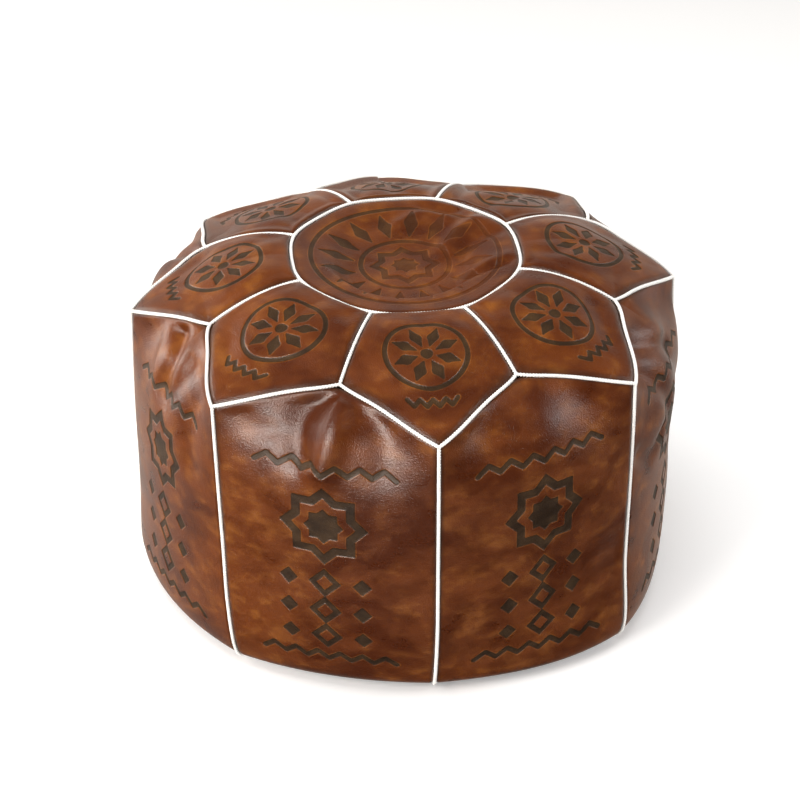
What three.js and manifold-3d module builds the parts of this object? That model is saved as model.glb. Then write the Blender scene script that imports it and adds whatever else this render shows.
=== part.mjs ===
// A Moroccan leather pouf: an eight-sided stitched leather cover, with corded seams and a zip
// underneath, over a stuffed inner bag.
//
// Millimetres, +Z up. The origin is the centre of the footprint, on the floor. Azimuth 0 is the
// front (-Y) and grows towards +X. Petal tips and side seams sit at every 45 degrees from there,
// radial seams and the middles of the side panels halfway between them.

import * as THREE from 'three';
import { mergeVertices } from 'three/addons/utils/BufferGeometryUtils.js';
import Module from 'manifold-3d';

// ---------------------------------------------------------------- driving dimensions

const WIDTH = 530; // over the side cords
const SIDES = 8;
const HALF_SIDE = Math.PI / SIDES; // azimuth from a petal tip to the next radial seam

// Leather and seams
const LEATHER = 1.6; // thickness
const SEAM_TRIM = 2.8; // leather edge to seam line
const CORD_RADIUS = 1.9;
const CORD_SINK = 0.6; // cord centre below the leather's face
const CORD_TRIM = 3.4; // cord end to the junction it runs up to
const WELT_RADIUS = 1.6;

// Seam junctions, as radius and height
const RING = { radius: 109, height: 338 }; // seam round the top disc
const APEX = { radius: 202, height: 312.5 }; // top of a side panel's gable
const TIP = { radius: 261, height: 289 }; // outer corner of a petal
const GABLE_RISE = 4; // how far a gable's slope bows above a straight line
const WAIST_RADIUS = WIDTH / 2 - CORD_RADIUS + CORD_SINK;
const WAIST_HEIGHT = 150;
const PANEL_FLAT = 4.5; // how far a side panel's middle lies inside its seams
const FLOOR_SEAM = { radius: 243, height: 5 }; // seam between the sides and the base
const FLOOR_SEAM_FLAT = 5;
const FLOOR_RADIUS = 228; // flat part of the base

const DISC_DISH = 4; // how far the top disc's middle sinks
const PETAL_PUFF = 19; // how far a petal stands above the flat sheet between its seams
const PETAL_PUFF_SKEW = 0.7; // below 1, the crest of the puff is nearer to the ring

// Zip: a straight channel across the base, from side to side
const ZIP_LENGTH = 380;
const ZIP_HEIGHT = 7.5; // underside of the leather beside the zip
const CHANNEL_FLAT = 12; // half-width of the channel's roof
const CHANNEL_HALF = 44; // half-width of the channel at the floor
const ZIP_SLOT_HALF = 6.2; // leather edge to the zip's middle line
const CLOSED_SLOT_HALF = 0.4; // the same beyond the zip's ends, where the halves are sewn together
const TAPE = { inner: 3.4, outer: 17, thickness: 0.6, height: 9.4 };
const COIL = { inner: 0.8, outer: 3.0, thickness: 1.8, height: 8.0 };
const STOP = { length: 3, halfWidth: 3.2, thickness: 1.5, height: 6.2 };
const SLIDER = { length: 12, halfWidth: 5.2, neckHalfWidth: 3.6, plate: 1.3, bottom: 6.3, top: 10.4 };
const SLIDER_POST = { length: 6, width: 1.0 };
const SLIDER_FLANGE = { width: 0.9, height: 1.2 };
const LUG = { length: 6.4, width: 3, depth: 3.3, wall: 0.9 };
const SLIDER_START = 170; // x of the slider with the zip closed
const PULLER = { length: 28, halfWidth: 4.2, thickness: 1.3, eyeHalf: 2.3, eyeLength: 6, bar: 1.1 };

// Inside
const BAG_INSET = 5.5; // bag's outer face below the leather's outer face
const BAG_WALL = 0.8;
const BAG_FLOOR = 12.6; // height of the bag's underside
const BAG_MOUTH_RADIUS = 62;
const STUFFING_GAP = 1.6; // bag to stuffing

// Fineness of the meshes
const ROUND_STEPS = 24;
const CORD_SIDES = 6;
const BASE_COLUMNS = [0, 60, 120, 160, 191, 197, 212, 228, 236]; // distances along the zip

// ---------------------------------------------------------------- materials

const leather = (color) => new THREE.MeshStandardMaterial({ color, roughness: 0.42, metalness: 0 });
const cotton = () => new THREE.MeshStandardMaterial({ color: 0xe9e2d6, roughness: 0.85, metalness: 0 });
const cloth = (color) => new THREE.MeshStandardMaterial({ color, roughness: 0.95, metalness: 0 });
const nylon = () => new THREE.MeshStandardMaterial({ color: 0x3a2417, roughness: 0.5, metalness: 0 });
const brass = () => new THREE.MeshStandardMaterial({ color: 0x9c7a3c, roughness: 0.35, metalness: 1 });

const LEATHER_BROWN = 0x74452a;
const LEATHER_DARK = 0x5a321c;
const TAPE_BROWN = 0x4a2f1e;
const BAG_CREAM = 0xd8cdb8;
const STUFFING_WHITE = 0xefebe2;

// ---------------------------------------------------------------- helpers

const lerp = THREE.MathUtils.lerp;

/** A point at an azimuth, radius and height. */
function polar(azimuth, radius, height) {
  return new THREE.Vector3(radius * Math.sin(azimuth), -radius * Math.cos(azimuth), height);
}

/** A smooth curve in the (radius, height) half-plane, through the given points. */
function meridian(points) {
  const list = points.map(([radius, height]) => new THREE.Vector3(radius, 0, height));
  return new THREE.CatmullRomCurve3(list, false, 'centripetal');
}

/** The point at a share of a meridian's length, moved by depth towards its left-hand side. */
function insetPoint(curve, share, depth) {
  const point = curve.getPointAt(share);
  const tangent = curve.getTangentAt(share);
  return { radius: point.x - tangent.z * depth, height: point.z + tangent.x * depth };
}

/** Evenly spaced values from start to end. */
function spread(start, end, count) {
  return Array.from({ length: count + 1 }, (_, index) => lerp(start, end, index / count));
}

/** A closed sheet of even thickness behind surface(a, b), whose a x b direction faces out. */
function sheet(surface, aValues, bValues, thickness) {
  const step = 1e-3;
  const outer = [];
  const inner = [];
  for (const b of bValues) {
    for (const a of aValues) {
      const point = surface(a, b);
      const alongA = surface(a + step, b).sub(surface(a - step, b));
      const alongB = surface(a, b + step).sub(surface(a, b - step));
      const normal = alongA.cross(alongB).normalize();
      outer.push(point);
      inner.push(point.clone().addScaledVector(normal, -thickness));
    }
  }
  const columns = aValues.length;
  const rows = bValues.length;
  const at = (column, row) => row * columns + column;
  const innerAt = (column, row) => outer.length + at(column, row);
  const faces = [];
  const quad = (p, q, r, s) => faces.push(p, q, r, p, r, s);
  for (let row = 0; row < rows - 1; row += 1) {
    for (let column = 0; column < columns - 1; column += 1) {
      quad(at(column, row), at(column + 1, row), at(column + 1, row + 1), at(column, row + 1));
      quad(
        innerAt(column, row),
        innerAt(column, row + 1),
        innerAt(column + 1, row + 1),
        innerAt(column + 1, row),
      );
    }
  }
  for (let column = 0; column < columns - 1; column += 1) {
    const last = rows - 1;
    quad(at(column, 0), innerAt(column, 0), innerAt(column + 1, 0), at(column + 1, 0));
    quad(at(column + 1, last), innerAt(column + 1, last), innerAt(column, last), at(column, last));
  }
  for (let row = 0; row < rows - 1; row += 1) {
    const last = columns - 1;
    quad(at(0, row + 1), innerAt(0, row + 1), innerAt(0, row), at(0, row));
    quad(at(last, row), innerAt(last, row), innerAt(last, row + 1), at(last, row + 1));
  }
  const geometry = new THREE.BufferGeometry().setFromPoints([...outer, ...inner]);
  geometry.setIndex(faces);
  return geometry;
}

/** A round cord along an open path, with closed ends. */
function cordAlong(path, steps, radius) {
  const section = new THREE.Shape().absarc(0, 0, radius, 0, 2 * Math.PI);
  return new THREE.ExtrudeGeometry(section, {
    steps,
    curveSegments: CORD_SIDES / 2,
    extrudePath: path,
    bevelEnabled: false,
  });
}

/** A box given by its lowest and highest corners. */
function boxBetween(low, high) {
  const geometry = new THREE.BoxGeometry(high[0] - low[0], high[1] - low[1], high[2] - low[2]);
  return geometry.translate((low[0] + high[0]) / 2, (low[1] + high[1]) / 2, (low[2] + high[2]) / 2);
}

/** A flat plate with the outline of shape in X and Y, from one height up to another. */
function plate(shape, bottom, top) {
  const geometry = new THREE.ExtrudeGeometry(shape, {
    depth: top - bottom,
    curveSegments: 6,
    bevelEnabled: false,
  });
  return geometry.translate(0, 0, bottom);
}

/** A solid of revolution about Z, from a closed profile of [radius, height] pairs. */
function turned(profile) {
  const points = profile.map(([radius, height]) => new THREE.Vector2(radius, height));
  return new THREE.LatheGeometry(points, ROUND_STEPS).rotateX(Math.PI / 2);
}

const wasm = await Module();
wasm.setup();

/** A geometry as a solid that can be joined and cut. */
function solidOf(geometry) {
  const bare = geometry.clone();
  bare.deleteAttribute('normal');
  bare.deleteAttribute('uv');
  const merged = mergeVertices(bare, 1e-4);
  return new wasm.Manifold(
    new wasm.Mesh({
      numProp: 3,
      vertProperties: new Float32Array(merged.attributes.position.array),
      triVerts: new Uint32Array(merged.index.array),
    }),
  );
}

/** Several overlapping geometries joined into one. */
function joined(geometries) {
  const solids = geometries.map(solidOf);
  const mesh = solids.reduce((whole, solid) => whole.add(solid)).getMesh();
  const geometry = new THREE.BufferGeometry();
  geometry.setAttribute('position', new THREE.BufferAttribute(new Float32Array(mesh.vertProperties), 3));
  geometry.setIndex(new THREE.BufferAttribute(new Uint32Array(mesh.triVerts), 1));
  return geometry;
}

// ---------------------------------------------------------------- the cover's surfaces

// Down-to-up profile of the cover along a side seam, and along the middle of a side panel.
const SEAM_LINE = meridian([
  [FLOOR_SEAM.radius, FLOOR_SEAM.height],
  [WAIST_RADIUS - 8, 12],
  [WAIST_RADIUS - 2.2, 28],
  [WAIST_RADIUS, WAIST_HEIGHT],
  [WAIST_RADIUS - 1, 240],
  [TIP.radius, TIP.height],
]);
const MIDDLE_LINE = meridian([
  [FLOOR_SEAM.radius - FLOOR_SEAM_FLAT, FLOOR_SEAM.height],
  [WAIST_RADIUS - PANEL_FLAT - 9, 12],
  [WAIST_RADIUS - PANEL_FLAT - 3, 28],
  [WAIST_RADIUS - PANEL_FLAT, WAIST_HEIGHT],
  [WAIST_RADIUS - PANEL_FLAT - 5, 250],
  [240, 287],
  [APEX.radius, APEX.height],
]);

/** Radius and height of the gable seam, from the apex (0) to the tip on either side (-1, 1). */
function gableAt(across) {
  const share = Math.abs(across);
  const height = lerp(APEX.height, TIP.height, share) + GABLE_RISE * 4 * share * (1 - share);
  return { radius: lerp(APEX.radius, TIP.radius, share), height };
}

/** A side panel's face: across runs from -1 to 1 between the side seams, up from 0 to 1. */
function sideFace(across, up) {
  const share = THREE.MathUtils.clamp(up, 0, 1);
  const middle = MIDDLE_LINE.getPointAt(share);
  const seam = SEAM_LINE.getPointAt(share);
  const inTop = THREE.MathUtils.smoothstep(share, 0.72, 1);
  const point = middle.lerp(seam, lerp(across * across, Math.abs(across), inTop));
  const rise = gableAt(across).height - lerp(APEX.height, TIP.height, Math.abs(across));
  return polar(across * HALF_SIDE, point.x, point.z + rise * inTop * inTop);
}

/** A petal's face: across runs from -1 to 1 between the radial seams, out from the ring (0) to 1. */
function petalFace(across, out) {
  const edge = gableAt(1 - Math.abs(across));
  const along = Math.max(out, 0) ** PETAL_PUFF_SKEW;
  const puff = PETAL_PUFF * (1 - across * across) * 4 * along * (1 - along);
  const height = lerp(RING.height, edge.height, out) + puff;
  return polar(across * HALF_SIDE, lerp(RING.radius, edge.radius, out), height);
}

/** The radius of the seam round the base. */
function floorSeamRadius(azimuth) {
  const fromTip = Math.abs(azimuth / (2 * HALF_SIDE) - Math.round(azimuth / (2 * HALF_SIDE)));
  const across = 1 - 2 * fromTip;
  return FLOOR_SEAM.radius - FLOOR_SEAM_FLAT * (1 - across * across);
}

/** The height of the base's underside at a point: a flat sole, a curled rim and the channel. */
function floorFaceHeight(x, y) {
  const radius = Math.hypot(x, y);
  const rim = floorSeamRadius(Math.atan2(x, -y));
  const curl = Math.max(0, (radius - FLOOR_RADIUS) / (rim - FLOOR_RADIUS));
  const across = 1 - THREE.MathUtils.smoothstep(Math.abs(y), CHANNEL_FLAT, CHANNEL_HALF);
  const along = 1 - THREE.MathUtils.smoothstep(Math.abs(x), ZIP_LENGTH / 2 + 7, FLOOR_RADIUS);
  return Math.max(FLOOR_SEAM.height * curl * curl, ZIP_HEIGHT * across * along);
}

// ---------------------------------------------------------------- leather panels

function topDisc() {
  const radius = RING.radius - SEAM_TRIM;
  const face = spread(0, radius, 4).map((r) => [r, RING.height - DISC_DISH * (1 - (r / radius) ** 2)]);
  const back = face.map(([r, height]) => [r, height - LEATHER]);
  return turned([...back, ...face.reverse()]);
}

/** A petal's sheet, with b from its outer edge (0) in to the ring (1). */
function petal() {
  const surface = (a, b) => {
    const out = 1 - b;
    const seamHalf = lerp(RING.radius, APEX.radius, out) * Math.sin(HALF_SIDE);
    const across = a * (1 - SEAM_TRIM / seamHalf);
    const length = lerp(TIP.radius - RING.radius, APEX.radius - RING.radius, Math.abs(across));
    const tipTrim = SEAM_TRIM * lerp(1.4, 2.6, Math.abs(across));
    return petalFace(across, lerp(SEAM_TRIM / length, 1 - tipTrim / length, out));
  };
  return sheet(surface, spread(-1, 1, 8), spread(0, 1, 5), LEATHER);
}

function sidePanel() {
  const seamHalf = FLOOR_SEAM.radius * Math.sin(HALF_SIDE);
  const seamLength = SEAM_LINE.getLength();
  const edge = 1 - SEAM_TRIM / seamHalf;
  const up = [0, 0.025, 0.05, 0.09, 0.2, 0.4, 0.6, 0.75, 0.84, 0.92, 1];
  const bottom = (1.1 * SEAM_TRIM) / seamLength;
  const top = 1 - (1.15 * SEAM_TRIM) / seamLength;
  return sheet(sideFace, spread(-edge, edge, 8), up.map((share) => lerp(bottom, top, share)), LEATHER);
}

/** One half of the base, on the +Y side of the zip. */
function basePanel() {
  const columns = [...BASE_COLUMNS.slice(1).reverse().map((x) => -x), ...BASE_COLUMNS];
  const surface = (a, b) => {
    const x = -a;
    const angle = Math.acos(x / (FLOOR_SEAM.radius - SEAM_TRIM));
    const radius = floorSeamRadius(angle + Math.PI / 2) - SEAM_TRIM;
    const closed = THREE.MathUtils.smoothstep(Math.abs(x), ZIP_LENGTH / 2 + 1, ZIP_LENGTH / 2 + 7);
    const slot = lerp(ZIP_SLOT_HALF, CLOSED_SLOT_HALF, closed);
    const y = lerp(slot, Math.sqrt(radius * radius - x * x), b);
    return new THREE.Vector3(x, y, floorFaceHeight(x, y));
  };
  return sheet(surface, columns, [0, 0.04, 0.1, 0.17, 0.55, 0.93, 0.965, 1], LEATHER);
}

// ---------------------------------------------------------------- cords

function discCord() {
  const geometry = new THREE.TorusGeometry(RING.radius, CORD_RADIUS, CORD_SIDES, 36);
  return geometry.translate(0, 0, RING.height - CORD_SINK);
}

function radialCord() {
  const start = polar(0, RING.radius + CORD_TRIM, RING.height - CORD_SINK);
  const end = polar(0, APEX.radius - CORD_TRIM, APEX.height - CORD_SINK);
  return cordAlong(new THREE.LineCurve3(start, end), 1, CORD_RADIUS);
}

/** The cord over one side panel: up to the gable's apex and down again. */
function gableCord() {
  const end = 1 - CORD_TRIM / (TIP.radius * HALF_SIDE);
  const slope = (side) => {
    const points = spread(side < 0 ? -end : 0, side < 0 ? 0 : end, 6).map((across) => {
      const { radius, height } = gableAt(across);
      return polar(across * HALF_SIDE, radius, height - CORD_SINK);
    });
    return new THREE.CatmullRomCurve3(points);
  };
  const path = new THREE.CurvePath();
  path.add(slope(-1));
  path.add(slope(1));
  return cordAlong(path, 12, CORD_RADIUS);
}

function sideCord() {
  const trim = CORD_TRIM / SEAM_LINE.getLength();
  const points = spread(trim, 1 - trim, 20).map((share) => {
    const { radius, height } = insetPoint(SEAM_LINE, share, CORD_SINK);
    return polar(0, radius, height);
  });
  return cordAlong(new THREE.CatmullRomCurve3(points), 16, CORD_RADIUS);
}

function baseWelt() {
  const points = spread(0, 2 * Math.PI, 48).slice(0, -1).map((azimuth) => {
    return polar(azimuth, floorSeamRadius(azimuth), FLOOR_SEAM.height + CORD_SINK);
  });
  const path = new THREE.CatmullRomCurve3(points, true);
  return new THREE.TubeGeometry(path, 48, WELT_RADIUS, CORD_SIDES, true);
}

// ---------------------------------------------------------------- zip

/** A straight strip of the zip on its +Y side. */
function zipStrip({ inner, outer, thickness, height }) {
  return boxBetween(
    [-ZIP_LENGTH / 2, inner, height],
    [ZIP_LENGTH / 2, outer, height + thickness],
  );
}

function zipStop() {
  const { length, halfWidth, thickness, height } = STOP;
  return boxBetween([-length / 2, -halfWidth, height], [length / 2, halfWidth, height + thickness]);
}

/** The slider about x = 0: two plates round the coils, a post between them and a lug below. */
function zipSlider() {
  const { length, halfWidth, neckHalfWidth, plate: thickness, bottom, top } = SLIDER;
  const outline = new THREE.Shape();
  outline.moveTo(-length / 2, -neckHalfWidth);
  outline.lineTo(-length / 6, -halfWidth);
  outline.lineTo(length / 2 - 1, -halfWidth);
  outline.quadraticCurveTo(length / 2, -halfWidth, length / 2, -halfWidth + 1);
  outline.lineTo(length / 2, halfWidth - 1);
  outline.quadraticCurveTo(length / 2, halfWidth, length / 2 - 1, halfWidth);
  outline.lineTo(-length / 6, halfWidth);
  outline.lineTo(-length / 2, neckHalfWidth);
  const outerPlate = plate(outline, bottom, bottom + thickness);
  const innerPlate = plate(outline, top, top + 1);
  const { length: postLength, width } = SLIDER_POST;
  const postLow = [length / 2 - postLength, -width / 2, bottom + thickness / 2];
  const post = boxBetween(postLow, [length / 2 - 0.5, width / 2, top + 0.5]);
  const flange = (side) => {
    const edges = [side * halfWidth, side * (halfWidth - SLIDER_FLANGE.width)];
    const low = [-length / 6, Math.min(...edges), bottom + thickness / 2];
    return boxBetween(low, [length / 2 - 1, Math.max(...edges), bottom + thickness + SLIDER_FLANGE.height]);
  };
  return joined([outerPlate, innerPlate, post, flange(-1), flange(1), sliderLug()]);
}

/** The arch under the slider that holds the puller's bar. */
function sliderLug() {
  const { length, width, depth, wall } = LUG;
  const rise = SLIDER.plate / 2;
  const arch = new THREE.Shape();
  arch.moveTo(-length / 2, rise);
  arch.lineTo(-length / 2, 1 - depth);
  arch.lineTo(1 - length / 2, -depth);
  arch.lineTo(length / 2 - 1, -depth);
  arch.lineTo(length / 2, 1 - depth);
  arch.lineTo(length / 2, rise);
  arch.lineTo(length / 2 - wall, rise);
  arch.lineTo(length / 2 - wall, wall - depth);
  arch.lineTo(wall - length / 2, wall - depth);
  arch.lineTo(wall - length / 2, rise);
  const geometry = new THREE.ExtrudeGeometry(arch, { depth: width, bevelEnabled: false });
  return geometry.rotateX(Math.PI / 2).translate(0, width / 2, SLIDER.bottom);
}

/** The height of the bar that the puller turns on. */
const PULLER_AXIS_HEIGHT = SLIDER.bottom - (LUG.depth - LUG.wall) / 2;

/** The puller about its own bar, lying towards -X. */
function zipPuller() {
  const { length, halfWidth, thickness, eyeHalf, eyeLength, bar } = PULLER;
  const outline = new THREE.Shape();
  outline.moveTo(bar / 2, 1 - halfWidth);
  outline.lineTo(bar / 2, halfWidth - 1);
  outline.quadraticCurveTo(bar / 2, halfWidth, -bar / 2, halfWidth);
  outline.lineTo(-eyeLength, halfWidth);
  outline.lineTo(-eyeLength - 3, halfWidth * 0.62);
  outline.lineTo(halfWidth - length, halfWidth * 0.9);
  outline.quadraticCurveTo(-length, halfWidth * 0.9, -length, 0);
  outline.quadraticCurveTo(-length, -halfWidth * 0.9, halfWidth - length, -halfWidth * 0.9);
  outline.lineTo(-eyeLength - 3, -halfWidth * 0.62);
  outline.lineTo(-eyeLength, -halfWidth);
  outline.lineTo(-bar / 2, -halfWidth);
  outline.quadraticCurveTo(bar / 2, -halfWidth, bar / 2, 1 - halfWidth);
  const eye = new THREE.Path();
  eye.moveTo(-bar / 2, -eyeHalf);
  eye.lineTo(-eyeLength, -eyeHalf);
  eye.lineTo(-eyeLength, eyeHalf);
  eye.lineTo(-bar / 2, eyeHalf);
  outline.holes.push(eye);
  return plate(outline, -thickness / 2, thickness / 2);
}

// ---------------------------------------------------------------- inside

/** The inside of the cover as [radius, height] pairs from the floor to the axis, inset by depth. */
function interiorLine(depth, floor) {
  const side = spread(0.06, 0.94, 7).map((share) => {
    const { radius, height } = insetPoint(MIDDLE_LINE, share, depth);
    return [radius, Math.max(height, floor)];
  });
  return [
    [side[0][0] - 12, floor],
    ...side,
    [APEX.radius - 8, APEX.height - depth - 2],
    [RING.radius, RING.height - depth],
    [RING.radius / 2, RING.height - depth - DISC_DISH],
    [0, RING.height - depth - DISC_DISH],
  ];
}

/** The inner bag: a thin wall, open at the mouth above the zip. */
function innerBag() {
  const outside = interiorLine(BAG_INSET, BAG_FLOOR);
  const inside = interiorLine(BAG_INSET + BAG_WALL, BAG_FLOOR + BAG_WALL);
  const mouth = [BAG_MOUTH_RADIUS, BAG_FLOOR];
  const mouthInside = [BAG_MOUTH_RADIUS, BAG_FLOOR + BAG_WALL];
  return turned([mouth, ...outside, ...inside.reverse(), mouthInside, mouth]);
}

function stuffing() {
  const floor = BAG_FLOOR + BAG_WALL + STUFFING_GAP;
  return turned([[0, floor], ...interiorLine(BAG_INSET + BAG_WALL + STUFFING_GAP, floor)]);
}

// ---------------------------------------------------------------- assembly

const pouf = new THREE.Group();

function addPiece(name, geometry, material) {
  const mesh = new THREE.Mesh(geometry, material);
  mesh.name = name;
  pouf.add(mesh);
  return mesh;
}

addPiece('top_disc', topDisc(), leather(LEATHER_BROWN));
addPiece('disc_cord', discCord(), cotton());

for (let index = 0; index < SIDES; index += 1) {
  const number = index + 1;
  const tipAzimuth = index * 2 * HALF_SIDE;
  const middleAzimuth = tipAzimuth + HALF_SIDE;
  addPiece(`petal_${number}`, petal(), leather(LEATHER_BROWN)).rotation.z = tipAzimuth;
  addPiece(`side_cord_${number}`, sideCord(), cotton()).rotation.z = tipAzimuth;
  addPiece(`side_panel_${number}`, sidePanel(), leather(LEATHER_BROWN)).rotation.z = middleAzimuth;
  addPiece(`radial_cord_${number}`, radialCord(), cotton()).rotation.z = middleAzimuth;
  addPiece(`gable_cord_${number}`, gableCord(), cotton()).rotation.z = middleAzimuth;
}

addPiece('base_welt', baseWelt(), leather(LEATHER_DARK));
addPiece('base_panel_back', basePanel(), leather(LEATHER_DARK));
addPiece('base_panel_front', basePanel(), leather(LEATHER_DARK)).rotation.z = Math.PI;

addPiece('zip_tape_back', zipStrip(TAPE), cloth(TAPE_BROWN));
addPiece('zip_tape_front', zipStrip(TAPE), cloth(TAPE_BROWN)).rotation.z = Math.PI;
addPiece('zip_coil_back', zipStrip(COIL), nylon());
addPiece('zip_coil_front', zipStrip(COIL), nylon()).rotation.z = Math.PI;
addPiece('zip_stop_closed', zipStop(), brass()).position.x = SLIDER_START + SLIDER.length / 2 + STOP.length;
addPiece('zip_stop_open', zipStop(), brass()).position.x = -SLIDER_START - SLIDER.length / 2 - STOP.length;
addPiece('zip_slider', zipSlider(), brass()).position.x = SLIDER_START;
addPiece('zip_puller', zipPuller(), brass()).position.set(SLIDER_START, 0, PULLER_AXIS_HEIGHT);

addPiece('inner_bag', innerBag(), cloth(BAG_CREAM));
addPiece('stuffing', stuffing(), cloth(STUFFING_WHITE));

export default pouf;
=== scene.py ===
"""The looks of the Moroccan leather pouf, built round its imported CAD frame.

Shapes are worked out in millimetres and turned into metres when a mesh is made. Azimuth 0 is
the front (-Y) and grows towards +X, as in the CAD.
"""

import math

import bpy
import numpy as np
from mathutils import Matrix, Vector


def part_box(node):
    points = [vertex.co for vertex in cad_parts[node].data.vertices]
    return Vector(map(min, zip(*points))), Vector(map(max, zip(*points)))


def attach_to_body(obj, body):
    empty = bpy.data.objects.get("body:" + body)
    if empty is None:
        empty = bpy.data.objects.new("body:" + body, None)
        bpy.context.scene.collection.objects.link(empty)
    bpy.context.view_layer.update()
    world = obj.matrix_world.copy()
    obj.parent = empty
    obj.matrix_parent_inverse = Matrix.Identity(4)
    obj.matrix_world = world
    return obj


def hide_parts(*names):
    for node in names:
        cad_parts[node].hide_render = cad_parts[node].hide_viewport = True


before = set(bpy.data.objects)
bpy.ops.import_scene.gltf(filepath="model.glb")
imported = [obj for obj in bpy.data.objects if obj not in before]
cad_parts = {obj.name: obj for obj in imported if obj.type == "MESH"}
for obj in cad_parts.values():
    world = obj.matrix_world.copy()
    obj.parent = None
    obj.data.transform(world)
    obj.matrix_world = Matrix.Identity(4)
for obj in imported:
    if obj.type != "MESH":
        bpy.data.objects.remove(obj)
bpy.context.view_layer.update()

BODY = "pouf"
MM = 0.001
SIDES = 8
HALF = math.pi / SIDES  # azimuth from a petal tip to the next radial seam

# ---- dimensions, from the frame


def box_mm(node):
    """The lowest and highest corner of a CAD node, in millimetres."""
    low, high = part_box(node)
    return np.array(low) / MM, np.array(high) / MM


CORD_RADIUS = 1.9
CORD_DRAWN = 1.6  # the twisted cord is a little thinner than the room the frame keeps for it
CORD_SINK = 0.6  # cord centre below the leather's face
CORD_STOP = 3.4  # how far a side cord stops short of the petal tip
WELT_RADIUS = 1.6
LEATHER = 1.6
TIP_INSET = 2.7  # a petal tip stands this far inside the waist
APEX_GAP = 2.0  # how far a radial cord stops short of the apex
APEX_DROP = 0.3
WELT_PROUD = 0.2


def ring_seam():
    """Radius and height of the seam round the disc."""
    low, high = box_mm("disc_cord")
    return high[0] - CORD_RADIUS, (low[2] + high[2]) / 2 + CORD_SINK


def waist_and_tip():
    """The widest radius of the side seams, and the radius and height of a petal tip."""
    low, high = box_mm("side_cord_1")
    waist = -low[1] - CORD_RADIUS + CORD_SINK
    return waist, (waist - TIP_INSET, high[2] + CORD_STOP)


def apex():
    """Radius and height of the point where a radial seam meets two gable slopes."""
    low, high = box_mm("radial_cord_1")
    return math.hypot(high[0], low[1]) + APEX_GAP, low[2] + CORD_RADIUS + CORD_SINK - APEX_DROP


def floor_seam():
    """Radius and height of the seam round the base, at a side seam."""
    low, high = box_mm("base_welt")
    return high[0] - WELT_RADIUS + WELT_PROUD, (low[2] + high[2]) / 2 - CORD_SINK


RING = ring_seam()
WAIST, TIP = waist_and_tip()
APEX = apex()
FLOOR_SEAM = floor_seam()
WAIST_HEIGHT = 150
PANEL_FLAT = 4.5  # how far a side panel's middle lies inside its seams
FLOOR_SEAM_FLAT = 5  # how far the base's seam lies inside, between two side seams
FLOOR_RADIUS = 228  # of the flat sole
GABLE_RISE = 4  # how far a gable slope bows up between its ends
PETAL_PUFF = 17  # height of a petal over its seams
PUFF_SKEW = 0.7  # below 1, the puff is highest near the ring

# ---- small maths


def lerp(a, b, t):
    return a + (b - a) * t


def smoothstep(value, low, high):
    t = np.clip((value - low) / (high - low), 0, 1)
    return t * t * (3 - 2 * t)


def unit(vectors):
    return vectors / np.linalg.norm(vectors, axis=-1, keepdims=True)


def full_turn(count):
    """Even angles round a circle."""
    return np.linspace(0, 2 * math.pi, count, endpoint=False)


def polar(azimuth, radius, height):
    """Points at an azimuth, radius and height, as an array of x, y, z."""
    return np.stack([radius * np.sin(azimuth), -radius * np.cos(azimuth), height + 0 * radius], -1)


class Meridian:
    """A smooth curve through (radius, height) points, read by the share of its length."""

    def __init__(self, points, steps=160):
        p = np.array(points, float)
        p = np.vstack([2 * p[0] - p[1], p, 2 * p[-1] - p[-2]])
        knots = np.concatenate([[0], np.cumsum(np.linalg.norm(np.diff(p, axis=0), axis=1) ** 0.5)])
        dense = []
        for i in range(1, len(p) - 2):
            t0, t1, t2, t3 = knots[i - 1 : i + 3]
            t = np.linspace(t1, t2, steps, endpoint=False)[:, None]
            a1 = (t1 - t) / (t1 - t0) * p[i - 1] + (t - t0) / (t1 - t0) * p[i]
            a2 = (t2 - t) / (t2 - t1) * p[i] + (t - t1) / (t2 - t1) * p[i + 1]
            a3 = (t3 - t) / (t3 - t2) * p[i + 1] + (t - t2) / (t3 - t2) * p[i + 2]
            b1 = (t2 - t) / (t2 - t0) * a1 + (t - t0) / (t2 - t0) * a2
            b2 = (t3 - t) / (t3 - t1) * a2 + (t - t1) / (t3 - t1) * a3
            dense.append((t2 - t) / (t2 - t1) * b1 + (t - t1) / (t2 - t1) * b2)
        self.points = np.vstack([*dense, p[-2]])
        along = np.cumsum(np.linalg.norm(np.diff(self.points, axis=0), axis=1))
        self.length = along[-1]
        self.share = np.concatenate([[0], along / self.length])

    def at(self, share):
        return [np.interp(share, self.share, self.points[:, axis]) for axis in (0, 1)]


# ---- the cover's surfaces

SEAM_LINE = Meridian([
    FLOOR_SEAM,
    (WAIST - 8, 12),
    (WAIST - 2.2, 28),
    (WAIST, WAIST_HEIGHT),
    (WAIST - 1, 240),
    TIP,
])
MIDDLE_LINE = Meridian([
    (FLOOR_SEAM[0] - FLOOR_SEAM_FLAT, FLOOR_SEAM[1]),
    (WAIST - PANEL_FLAT - 9, 12),
    (WAIST - PANEL_FLAT - 3, 28),
    (WAIST - PANEL_FLAT, WAIST_HEIGHT),
    (WAIST - PANEL_FLAT - 5, 250),
    (240, 287),
    APEX,
])


def gable_at(across):
    """Radius and height of the gable seam, from the apex (0) to the tips (-1, 1)."""
    share = np.abs(across)
    rise = GABLE_RISE * 4 * share * (1 - share)
    return lerp(APEX[0], TIP[0], share), lerp(APEX[1], TIP[1], share) + rise


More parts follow.
